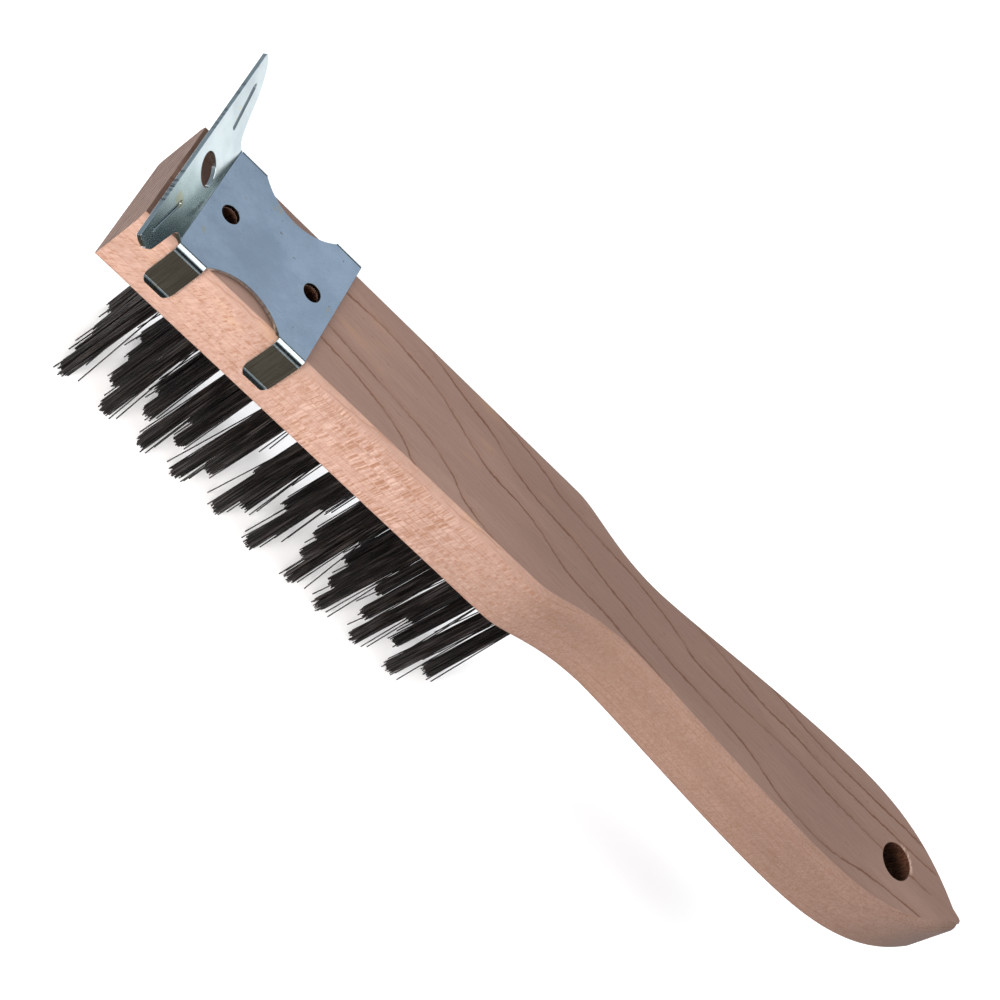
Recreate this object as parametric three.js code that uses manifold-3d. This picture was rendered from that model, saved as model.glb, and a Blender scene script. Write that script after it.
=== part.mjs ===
// Wire brush: one-piece wooden block and handle, 44 staple-set wire tufts, clip-on steel scraper.
// Millimetres. +X runs from the block's front end to the handle tip, +Z is up, bristle tips at z = 0.
import * as THREE from 'three';
import Module from 'manifold-3d';

const wasm = await Module();
wasm.setup();

// ---- driving dimensions ----
const TRIM = 43.0;            // exposed bristle length, so the underside of the wood is at this height
const WOOD_T = 20.4;          // plank thickness
const HALF_W = 18.65;         // half width of block and of the handle's widest part
const NECK_X = 161.0;         // narrowest section behind the block
const NECK_HALF = 12.75;
const BLOCK_END_X = 129.0;    // where the block starts to narrow
const SWELL_X = 238.0;        // widest section of the handle
const TIP_X = 286.0;
const TIP_HALF = 0.9;         // small blunt end of the pointed tip
const TOP_R = 4.9;            // radius of the round-over of the upper edges
const TOP_TURN = 0.96;        // how far it turns before it meets the top face in a crisp crest, radians
const BOT_R = 1.6;            // eased lower edges
const HANG_X = 258.9;         // hanging hole
const HANG_R = 5.25;

const OUTER_COUNT = 10;       // tufts in each outer row
const OUTER_X0 = 19.4;
const OUTER_PITCH = 12.65;
const INNER_COUNT = 12;       // tufts in each inner row
const INNER_X0 = 19.6;
const INNER_PITCH = 11.15;
const ROW_Y = [-13.2, -4.4, 4.4, 13.2];
const HOLE_R = 2.25;          // drilled tuft hole
const HOLE_DEPTH = 12.5;
const ROOT_R = 1.9;           // packed bundle in its hole
const TIP_R = 2.35;           // the bundle spreads a little towards the tips
const ROOT_DEPTH = 12.0;

const SHEET = 1.1;            // scraper sheet thickness
const GAP = 0.35;             // clearance between sheet and wood
const PLATE_X0 = 9.9;         // bend line of the blade
const PLATE_X1 = 50.0;        // rear edge
const TAB_W = 8.3;
const TAB_X = [14.35, 45.85]; // tab centres
const TAB_END_Z = 50.4;       // lower end of the tabs
const BEND_R = 2.3;           // outer bend radius of the tabs
const LIP = 1.5;              // outward flare at the tab ends
const ARC_R = 15.8;           // relief between the tabs on each side
const ARC_DEEP_Y = 13.3;
const PLATE_HOLES_X = [16.25, 42.75];
const PLATE_HOLE_R = 2.5;
const BLADE_LEAN = THREE.MathUtils.degToRad(44);
const BLADE_L = 14.2;         // bend line to scraping edge, at mid width
const BLADE_SKEW = 0.0085;    // the scraping edge is cut slightly out of square
const BLADE_HOLE_R = 4.2;
const BLADE_HOLE_Y = 0.5;
const BLADE_HOLE_S = 6.95;    // hole centre above the bend line
// The two wings differ: half width at the plate, reach, and how full the rounded end is.
const WINGS = [
  { side: 1, root: 18.6, reach: 38.6, full: 2.1 },
  { side: -1, root: 17.7, reach: 34.9, full: 4.0 },
];

const WOOD_TOP = TRIM + WOOD_T;
const PLATE_Z = WOOD_TOP + GAP;
const TAB_OUT = HALF_W + GAP + SHEET;

// ---- mesh helpers ----
function closedMesh(verts, tris) {
  const mesh = new wasm.Mesh({
    numProp: 3,
    vertProperties: new Float32Array(verts.flat()),
    triVerts: new Uint32Array(tris.flat()),
  });
  mesh.merge();
  return new wasm.Manifold(mesh);
}

// Stack of rings with equal point counts, capped at both ends.
function loft(rings, capShape) {
  const n = rings[0].length;
  const verts = rings.flat();
  const tris = [];
  for (let k = 0; k + 1 < rings.length; k += 1) {
    for (let i = 0; i < n; i += 1) {
      const j = (i + 1) % n;
      const a = k * n + i;
      const b = k * n + j;
      tris.push([a, b, b + n], [a, b + n, a + n]);
    }
  }
  const last = (rings.length - 1) * n;
  for (const [p, q, r] of THREE.ShapeUtils.triangulateShape(capShape, [])) {
    tris.push([r, q, p], [last + p, last + q, last + r]);
  }
  return closedMesh(verts, tris);
}

// Straight round bar between two points along Z.
function rod(x, y, z0, z1, r0, r1, sides) {
  const ring = (z, r) => Array.from({ length: sides }, (_, i) => {
    const a = (i + 0.5) * 2 * Math.PI / sides;
    return [x + r * Math.cos(a), y + r * Math.sin(a), z];
  });
  const flat = ring(0, 1).map(([px, py]) => new THREE.Vector2(px - x, py - y));
  return loft([ring(z0, r0), ring(z1, r1)], flat);
}

// Flat outline given thickness, then placed by a matrix.
function slab(shape, depth, matrix, curveSegments = 10) {
  const g = new THREE.ExtrudeGeometry(shape, { depth, bevelEnabled: false, curveSegments });
  g.applyMatrix4(matrix);
  const p = g.attributes.position;
  const verts = Array.from({ length: p.count }, (_, i) => [p.getX(i), p.getY(i), p.getZ(i)]);
  const tris = Array.from({ length: p.count / 3 }, (_, i) => [3 * i, 3 * i + 1, 3 * i + 2]);
  if (matrix.determinant() < 0) tris.forEach((t) => t.reverse());
  const key = new Map();
  const points = [];
  const index = verts.map((v) => {
    const k = v.map((c) => c.toFixed(5)).join();
    if (!key.has(k)) {
      key.set(k, points.length);
      points.push(v);
    }
    return key.get(k);
  });
  const clean = tris.map((t) => t.map((i) => index[i]))
    .filter(([a, b, c]) => a !== b && b !== c && a !== c);
  return closedMesh(points, clean);
}

function toGeometry(solid) {
  const m = solid.getMesh();
  const g = new THREE.BufferGeometry();
  const pos = new Float32Array(m.numVert * 3);
  for (let i = 0; i < m.numVert; i += 1) {
    for (let c = 0; c < 3; c += 1) pos[3 * i + c] = m.vertProperties[i * m.numProp + c];
  }
  g.setAttribute('position', new THREE.BufferAttribute(pos, 3));
  g.setIndex(new THREE.BufferAttribute(new Uint32Array(m.triVerts), 1));
  g.computeVertexNormals();
  return g;
}

// ---- wood ----
// Half plan from the front end to the tip; the other half is its mirror image.
function halfPlan() {
  const path = new THREE.Path();
  path.moveTo(-8, HALF_W);
  path.lineTo(BLOCK_END_X, HALF_W);
  path.bezierCurveTo(BLOCK_END_X + 8, HALF_W, NECK_X - 16, NECK_HALF, NECK_X, NECK_HALF);
  path.bezierCurveTo(NECK_X + 12, NECK_HALF, SWELL_X - 26, HALF_W, SWELL_X, HALF_W);
  path.bezierCurveTo(SWELL_X + 18, HALF_W, TIP_X - 15, 15, TIP_X, TIP_HALF);
  return path.getPoints(11);
}

function makeWood() {
  const half = halfPlan();
  const outline = [...half.map((p) => [p.x, -p.y]), ...half.slice().reverse().map((p) => [p.x, p.y])];
  const n = outline.length;
  const normals = outline.map((p, i) => {
    const a = outline[(i + n - 1) % n];
    const b = outline[(i + 1) % n];
    const d = new THREE.Vector2(b[0] - a[0], b[1] - a[1]).normalize();
    return [d.y, -d.x];
  });
  const inset = (amount, z) => outline.map(([x, y], i) => {
    const [nx, ny] = normals[i];
    const room = Math.max(0.15, (Math.abs(y) / Math.max(Math.abs(ny), 0.2)) * 0.42);
    const d = Math.min(amount, room);
    return [x - nx * d, y - ny * d, z];
  });
  const rings = [];
  for (let k = 0; k <= 2; k += 1) {
    const a = (k / 2) * Math.PI / 2;
    rings.push(inset(BOT_R * (1 - Math.sin(a)), TRIM + BOT_R * (1 - Math.cos(a))));
  }
  for (let k = 0; k <= 4; k += 1) {
    const a = (k / 4) * TOP_TURN;
    rings.push(inset(TOP_R * (1 - Math.cos(a)), WOOD_TOP - TOP_R * (Math.sin(TOP_TURN) - Math.sin(a))));
  }
  const cap = outline.map(([x, y]) => new THREE.Vector2(x, y));
  let wood = loft(rings, cap);
  const cut = new THREE.Shape().moveTo(-30, -30).lineTo(0, -30).lineTo(0, 30).lineTo(-30, 30);
  wood = wood.subtract(slab(cut, 60, new THREE.Matrix4().makeTranslation(0, 0, 20)));
  for (const { x, y } of tuftGrid()) {
    wood = wood.subtract(rod(x, y, TRIM - 1, TRIM + HOLE_DEPTH, HOLE_R, HOLE_R, 10));
  }
  wood = wood.subtract(rod(HANG_X, 0, TRIM - 1, WOOD_TOP + 1, HANG_R, HANG_R, 28));
  for (const x of PLATE_HOLES_X) {
    wood = wood.subtract(rod(x, 0, WOOD_TOP - 6, WOOD_TOP + 1, PLATE_HOLE_R, PLATE_HOLE_R, 20));
  }
  return wood;
}

// ---- tufts ----
function tuftGrid() {
  const spots = [];
  ROW_Y.forEach((y, row) => {
    const outer = row === 0 || row === 3;
    const count = outer ? OUTER_COUNT : INNER_COUNT;
    const x0 = outer ? OUTER_X0 : INNER_X0;
    const pitch = outer ? OUTER_PITCH : INNER_PITCH;
    for (let i = 0; i < count; i += 1) {
      spots.push({ name: `tuft_r${row + 1}_${String(i + 1).padStart(2, '0')}`, x: x0 + i * pitch, y });
    }
  });
  return spots;
}

function makeTuft({ x, y }) {
  const sides = 10;
  const levels = [[0, TIP_R], [TRIM - 0.5, ROOT_R], [TRIM + ROOT_DEPTH, ROOT_R * 0.85]];
  const rings = levels.map(([z, r]) => Array.from({ length: sides }, (_, i) => {
    const a = (i + 0.5) * 2 * Math.PI / sides;
    return [x + r * Math.cos(a), y + r * Math.sin(a), z];
  }));
  const cap = rings[0].map(([px, py]) => new THREE.Vector2(px, py));
  return loft(rings, cap);
}

// ---- scraper ----
function makeScraper() {
  const e = new THREE.Matrix4();
  // flat plate with an arched relief on each side
  const flatHalf = TAB_OUT - BEND_R + 0.2;
  const tabIn = TAB_X.map((c, i) => c + (i === 0 ? TAB_W / 2 : -TAB_W / 2));
  const mid = (tabIn[0] + tabIn[1]) / 2;
  const chord = (tabIn[1] - tabIn[0]) / 2;
  const arcY = ARC_DEEP_Y + ARC_R;
  const startY = arcY - Math.sqrt(ARC_R * ARC_R - chord * chord);
  const half = Math.atan2(chord, arcY - startY);
  const plan = new THREE.Shape();
  plan.moveTo(PLATE_X0 - 0.4, -flatHalf + 0.9);
  plan.lineTo(TAB_X[0] - TAB_W / 2, -flatHalf + 0.9);
  plan.lineTo(TAB_X[0] - TAB_W / 2, -flatHalf);
  plan.lineTo(tabIn[0], -flatHalf);
  plan.lineTo(tabIn[0], -startY);
  plan.absarc(mid, -arcY, ARC_R, Math.PI / 2 + half, Math.PI / 2 - half, true);
  plan.lineTo(tabIn[1], -flatHalf);
  plan.lineTo(PLATE_X1, -flatHalf);
  plan.lineTo(PLATE_X1, flatHalf);
  plan.lineTo(tabIn[1], flatHalf);
  plan.lineTo(tabIn[1], startY);
  plan.absarc(mid, arcY, ARC_R, -Math.PI / 2 + half, -Math.PI / 2 - half, true);
  plan.lineTo(tabIn[0], flatHalf);
  plan.lineTo(TAB_X[0] - TAB_W / 2, flatHalf);
  plan.lineTo(TAB_X[0] - TAB_W / 2, flatHalf - 0.9);
  plan.lineTo(PLATE_X0 - 0.4, flatHalf - 0.9);
  for (const x of PLATE_HOLES_X) {
    plan.holes.push(new THREE.Path().absarc(x, 0, PLATE_HOLE_R, 0, 2 * Math.PI, true));
  }
  let clip = slab(plan, SHEET, e.makeTranslation(0, 0, PLATE_Z), 12);

  // four tabs: bend, flank and flared lip, drawn in the Y-Z plane
  const topZ = PLATE_Z + SHEET;
  const cy = TAB_OUT - BEND_R;
  const cz = topZ - BEND_R;
  const ri = BEND_R - SHEET;
  const kneeZ = TAB_END_Z + 2.2;
  const tab = new THREE.Shape();
  tab.moveTo(cy - 0.6, topZ);
  tab.lineTo(cy, topZ);
  tab.absarc(cy, cz, BEND_R, Math.PI / 2, 0, true);
  tab.lineTo(TAB_OUT, kneeZ);
  tab.lineTo(TAB_OUT + LIP * 0.8, TAB_END_Z + 0.25);
  tab.lineTo(TAB_OUT + LIP * 0.8 - SHEET * 0.85, TAB_END_Z - 0.2);
  tab.lineTo(TAB_OUT - SHEET, kneeZ - 0.2);
  tab.lineTo(TAB_OUT - SHEET, cz);
  tab.absarc(cy, cz, ri, 0, Math.PI / 2, false);
  tab.lineTo(cy - 0.6, topZ - SHEET);
  const bevel = 2.4;
  for (const side of [-1, 1]) {
    for (const cx of TAB_X) {
      // shape x -> world y, shape y -> world z, depth -> world x
      const place = new THREE.Matrix4().set(
        0, 0, 1, cx - TAB_W / 2,
        side, 0, 0, 0,
        0, 1, 0, 0,
        0, 0, 0, 1,
      );
      let one = slab(tab, TAB_W, place, 6);
      for (const end of [-1, 1]) {
        const corner = new THREE.Shape();
        corner.moveTo(end * (TAB_W / 2 - 1.5), TAB_END_Z - 3);
        corner.lineTo(end * (TAB_W / 2 - 1.5), TAB_END_Z);
        corner.lineTo(end * (TAB_W / 2 + 0.4), TAB_END_Z + bevel + 0.5);
        corner.lineTo(end * (TAB_W / 2 + 3), TAB_END_Z - 3);
        const at = new THREE.Matrix4().set(
          1, 0, 0, cx,
          0, 0, -1, 30,
          0, 1, 0, 0,
          0, 0, 0, 1,
        );
        one = one.subtract(slab(corner, 60, at));
      }
      clip = clip.add(one);
    }
  }

  // blade: wide wings and a round hole, drawn flat as (y, distance from the bend line)
  const s = new THREE.Shape();
  WINGS.forEach(({ side, root, reach, full }) => {
    const edge = BLADE_L + BLADE_SKEW * side * (reach - 1.2);
    const lower = [
      [root, -0.3], [root, 1.2], [root + 0.6, 2.6], [root + 1.6, 3.4], [root + 3, 3.9], [29, 6.5],
    ];
    const curve = new THREE.CurvePath();
    const at = (y, v) => new THREE.Vector2(y, v);
    curve.add(new THREE.CubicBezierCurve(
      at(29, 6.5), at(32.2, 7.3), at(reach - 0.7, 12.9 - full), at(reach, 12.9),
    ));
    curve.add(new THREE.CubicBezierCurve(at(reach, 12.9), at(reach + 0.1, edge - 0.5),
      at(reach - 0.2, edge), at(reach - 1.2, edge)));
    const points = lower.slice(0, -1).concat(curve.getPoints(7).map((p) => [p.x, p.y]));
    if (side < 0) points.reverse();
    points.forEach(([y, v]) => {
      if (s.curves.length === 0 && s.currentPoint.lengthSq() === 0) s.moveTo(side * y, v);
      else s.lineTo(side * y, v);
    });
  });
  s.holes.push(new THREE.Path().absarc(BLADE_HOLE_Y, BLADE_HOLE_S, BLADE_HOLE_R, 0, 2 * Math.PI, true));
  const ux = -Math.cos(BLADE_LEAN);
  const uz = Math.sin(BLADE_LEAN);
  // y axis -> world y, s axis -> leaning up and forward, depth -> into the sheet below its upper face
  const onBlade = (lift) => new THREE.Matrix4().set(
    0, ux, -uz, PLATE_X0 - uz * lift,
    1, 0, 0, 0,
    0, uz, ux, topZ + ux * lift,
    0, 0, 0, 1,
  );
  clip = clip.add(slab(s, SHEET, onBlade(0), 12));
  // stamped stiffening ribs: a groove in the upper face and a matching bead below
  for (const k of [-1, 1]) {
    const rib = (hw) => {
      const a = new THREE.Vector2(BLADE_HOLE_Y + k * 15.4, 8.2);
      const b = new THREE.Vector2(BLADE_HOLE_Y + k * 28.8, 10.9);
      const t = b.clone().sub(a).normalize();
      const q = new THREE.Vector2(-t.y, t.x).multiplyScalar(hw);
      const r = new THREE.Shape();
      r.moveTo(a.x - q.x, a.y - q.y);
      r.lineTo(b.x - q.x, b.y - q.y);
      r.lineTo(b.x + t.x * hw, b.y + t.y * hw);
      r.lineTo(b.x + q.x, b.y + q.y);
      r.lineTo(a.x + q.x, a.y + q.y);
      r.lineTo(a.x - t.x * hw, a.y - t.y * hw);
      return r;
    };
    clip = clip.subtract(slab(rib(0.45), 0.9, onBlade(-0.5)));
    clip = clip.add(slab(rib(0.75), 0.65, onBlade(SHEET - 0.25)));
  }
  return clip;
}

// ---- assembly ----
const group = new THREE.Group();
group.name = 'wire_brush';

function addPart(name, solid, color, roughness, metalness, slot) {
  const material = new THREE.MeshStandardMaterial({ color, roughness, metalness });
  material.name = slot;
  const mesh = new THREE.Mesh(toGeometry(solid), material);
  mesh.name = name;
  group.add(mesh);
}

addPart('handle_block', makeWood(), 0xb08c78, 0.7, 0.0, 'wood');
addPart('scraper_clip', makeScraper(), 0x8f9fb0, 0.35, 0.9, 'zinc');
for (const spot of tuftGrid()) {
  addPart(spot.name, makeTuft(spot), 0x1d1918, 0.45, 0.8, 'wire');
}

// move the brush so that the frame's origin is below the middle of its box
const box = new THREE.Box3().setFromObject(group);
const shiftX = -(box.min.x + box.max.x) / 2;
const shiftY = -(box.min.y + box.max.y) / 2;
group.children.forEach((m) => m.geometry.translate(shiftX, shiftY, 0));

export default group;
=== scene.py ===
"""Wire brush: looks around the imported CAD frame. Metres, +X towards the handle tip, bristle tips at z = 0."""

import math
import random

import bmesh
import bpy
from mathutils import Matrix, Vector, geometry, kdtree


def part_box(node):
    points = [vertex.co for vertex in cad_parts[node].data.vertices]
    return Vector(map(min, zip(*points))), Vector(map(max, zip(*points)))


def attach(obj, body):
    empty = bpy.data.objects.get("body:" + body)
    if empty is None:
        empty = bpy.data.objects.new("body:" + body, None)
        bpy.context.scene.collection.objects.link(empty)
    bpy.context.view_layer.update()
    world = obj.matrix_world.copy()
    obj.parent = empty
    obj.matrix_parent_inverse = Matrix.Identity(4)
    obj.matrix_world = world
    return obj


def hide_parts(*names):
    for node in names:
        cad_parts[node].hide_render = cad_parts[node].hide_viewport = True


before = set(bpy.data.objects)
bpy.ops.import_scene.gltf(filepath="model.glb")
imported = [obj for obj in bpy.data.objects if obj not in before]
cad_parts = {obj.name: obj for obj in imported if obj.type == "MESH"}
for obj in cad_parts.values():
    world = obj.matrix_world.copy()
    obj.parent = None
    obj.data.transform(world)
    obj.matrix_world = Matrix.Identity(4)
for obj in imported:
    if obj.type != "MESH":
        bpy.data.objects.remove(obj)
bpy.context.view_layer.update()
MM = 0.001
HANG_X_MM = 258.9                       # hanging hole, behind the front end
SCREW_X_MM = (16.25, 42.75)             # two small blind holes under the scraper plate
PLATE_HOLE_R_MM = 2.5                   # the holes above them in the plate
BLADE_HOLE_R_MM = 4.2
BLADE_HOLE_Y_MM = 0.5                   # from the middle plane
BLADE_HOLE_UP_MM = 6.95                 # up the blade from its bend line
WOOD_DARK = (0.152, 0.095, 0.075, 1)
WOOD_LIGHT = (0.185, 0.116, 0.092, 1)

# ---------------------------------------------------------------- positions from the CAD
wood_low, wood_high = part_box("handle_block")
FRONT_X = wood_low.x                    # front end face of the block
TIP_X = wood_high.x                     # handle tip
MID_Y = (wood_low.y + wood_high.y) / 2  # middle plane of the block; the blade is off centre
HALF_W = (wood_high.y - wood_low.y) / 2
WOOD_BOTTOM, WOOD_TOP = wood_low.z, wood_high.z


def local(x_mm):
    """Distance behind the block's front end, in millimetres, as a row-frame x."""
    return FRONT_X + x_mm * MM


def across(y_mm):
    """Distance from the block's middle plane, in millimetres, as a row-frame y."""
    return MID_Y + y_mm * MM


# ---------------------------------------------------------------- small mesh helpers
def new_object(name, verts, faces, smooth_angle=30.0):
    mesh = bpy.data.meshes.new(name)
    mesh.from_pydata([tuple(v) for v in verts], [], faces)
    mesh.validate()
    for p in mesh.polygons:
        p.use_smooth = True
    mesh.set_sharp_from_angle(angle=math.radians(smooth_angle))
    obj = bpy.data.objects.new(name, mesh)
    bpy.context.scene.collection.objects.link(obj)
    return obj


def apply_modifiers(obj):
    dg = bpy.context.evaluated_depsgraph_get()
    mesh = bpy.data.meshes.new_from_object(obj.evaluated_get(dg))
    old = obj.data
    obj.modifiers.clear()
    obj.data = mesh
    mesh.name = old.name
    bpy.data.meshes.remove(old)


def bezier(p0, p1, p2, p3, steps):
    out = []
    for i in range(1, steps + 1):
        t = i / steps
        a, b, c, d = (1 - t) ** 3, 3 * t * (1 - t) ** 2, 3 * t * t * (1 - t), t ** 3
        out.append((a * p0[0] + b * p1[0] + c * p2[0] + d * p3[0],
                    a * p0[1] + b * p1[1] + c * p2[1] + d * p3[1]))
    return out


# ---------------------------------------------------------------- node helpers
class Nodes:
    """Short way to write a node tree."""

    def __init__(self, name):
        self.material = bpy.data.materials.new(name)
        self.material.use_nodes = True
        self.tree = self.material.node_tree
        self.bsdf = next(n for n in self.tree.nodes if n.type == "BSDF_PRINCIPLED")
        self.coords = self.add("ShaderNodeTexCoord").outputs["Object"]

    def add(self, kind, **settings):
        node = self.tree.nodes.new(kind)
        for key, value in settings.items():
            setattr(node, key, value)
        return node

    def link(self, source, target):
        self.tree.links.new(source, target)

    def put(self, socket, value):
        if isinstance(value, (int, float, tuple, list)):
            socket.default_value = value
        else:
            self.link(value, socket)

    def math(self, operation, a, b=0.0, c=0.0, clamp=False):
        node = self.add("ShaderNodeMath", operation=operation, use_clamp=clamp)
        for i, v in enumerate((a, b, c)):
            self.put(node.inputs[i], v)
        return node.outputs[0]

    def scaled(self, scale, vector=None, offset=(0, 0, 0)):
        node = self.add("ShaderNodeMapping")
        node.inputs["Scale"].default_value = scale
        node.inputs["Location"].default_value = offset
        self.link(vector or self.coords, node.inputs["Vector"])
        return node.outputs[0]

    def noise(self, scale, vector=None, detail=2.0, rough=0.5, distortion=0.0, size=1.0):
        """Noise whose features are about 1/scale metres, scale a triple of per-metre frequencies."""
        node = self.add("ShaderNodeTexNoise")
        node.inputs["Scale"].default_value = size
        node.inputs["Detail"].default_value = detail
        node.inputs["Roughness"].default_value = rough
        node.inputs["Distortion"].default_value = distortion
        self.link(self.scaled(scale, vector), node.inputs["Vector"])
        return node.outputs[0]

    def remap(self, value, low, high, to_low=0.0, to_high=1.0, smooth=True):
        node = self.add("ShaderNodeMapRange", interpolation_type="SMOOTHSTEP" if smooth else "LINEAR")
        for i, v in enumerate((value, low, high, to_low, to_high)):
            self.put(node.inputs[i], v)
        return node.outputs[0]

    def mix(self, factor, a, b, blend="MIX"):
        node = self.add("ShaderNodeMix", data_type="RGBA", blend_type=blend)
        self.put(node.inputs["Factor"], factor)
        self.put(node.inputs[6], a)
        self.put(node.inputs[7], b)
        return node.outputs[2]

    def bump(self, height, strength, distance, normal=None):
        node = self.add("ShaderNodeBump")
        node.inputs["Strength"].default_value = strength
        node.inputs["Distance"].default_value = distance
        self.link(height, node.inputs["Height"])
        if normal is not None:
            self.link(normal, node.inputs["Normal"])
        return node.outputs[0]

    def normal_parts(self):
        split = self.add("ShaderNodeSeparateXYZ")
        self.link(self.add("ShaderNodeNewGeometry").outputs["Normal"], split.inputs[0])
        return split.outputs

    def position_parts(self, vector=None):
        split = self.add("ShaderNodeSeparateXYZ")
        self.link(vector or self.coords, split.inputs[0])
        return split.outputs


# ---------------------------------------------------------------- wood
# Dark growth lines where they cross the top face, as millimetres:
# (distance behind the front end, distance from the middle plane).
GRAIN_LINES = [
    [(0, -3.5), (30, -5.5), (51, -7.4), (61, -8.1), (69, -9.5), (76, -11.2), (82, -13.7), (86, -16.5),
     (91, -18.3), (98, -23)],
    [(0, 0.5), (30, -1.2), (51, -2.6), (71, -4.8), (82, -6.0), (90, -7.8), (97, -10.6), (102, -13.7),
     (111, -16.1), (127, -18.5), (150, -23)],
    [(0, 8.5), (30, 10), (51, 9.9), (61, 10.3), (71, 9.6), (82, 7.8), (90, 5.1), (98, 1.8), (107, -0.7),
     (116, -1.4), (123, -2.9), (131, -5.7), (138, -7.6), (148, -8.3), (159, -9.7), (169, -10.9),
     (181, -14.3), (200, -22)],
    [(40, 23), (70, 17.5), (81, 14.8), (90, 12.4), (100, 10.3), (107, 7.5), (113, 5.5), (123, 3.7),
     (131, 3.1), (148, -0.5), (159, -2.6), (173, -4.9), (194, -6.8), (202, -8.0), (209, -10.1),
     (218, -12.8), (225, -13.8), (234, -14.2), (243, -13.0), (249, -11.4), (256, -10.5), (267, -9.4),
     (274, -9.2)],
    [(70, 23), (95, 17.5), (108, 15.1), (119, 13.0), (125, 11.0), (134, 9.9), (155, 8.0), (165, 6.1),
     (173, 4.0), (179, 2.0), (190, 1.3), (210, 1.7), (221, 1.5), (233, 0.4), (246, -0.1), (267, -0.3),
     (286, 0.2)],
    [(140, 23), (160, 15.5), (177, 11.4), (188, 10.0), (196, 8.6), (204, 7.6), (215, 7.6), (225, 6.7),
     (241, 6.4), (256, 6.4), (272, 6.7), (286, 7.2)],
    [(170, 23), (195, 16.8), (210, 13.5), (225, 11.7), (241, 11.2), (256, 11.4), (270, 11.2)],
    [(225, -18.6), (240, -17.6), (252, -16.2), (262, -14.4), (269, -12.6), (274, -10.0)],
]
LENGTH_MM = 290.0


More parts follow.
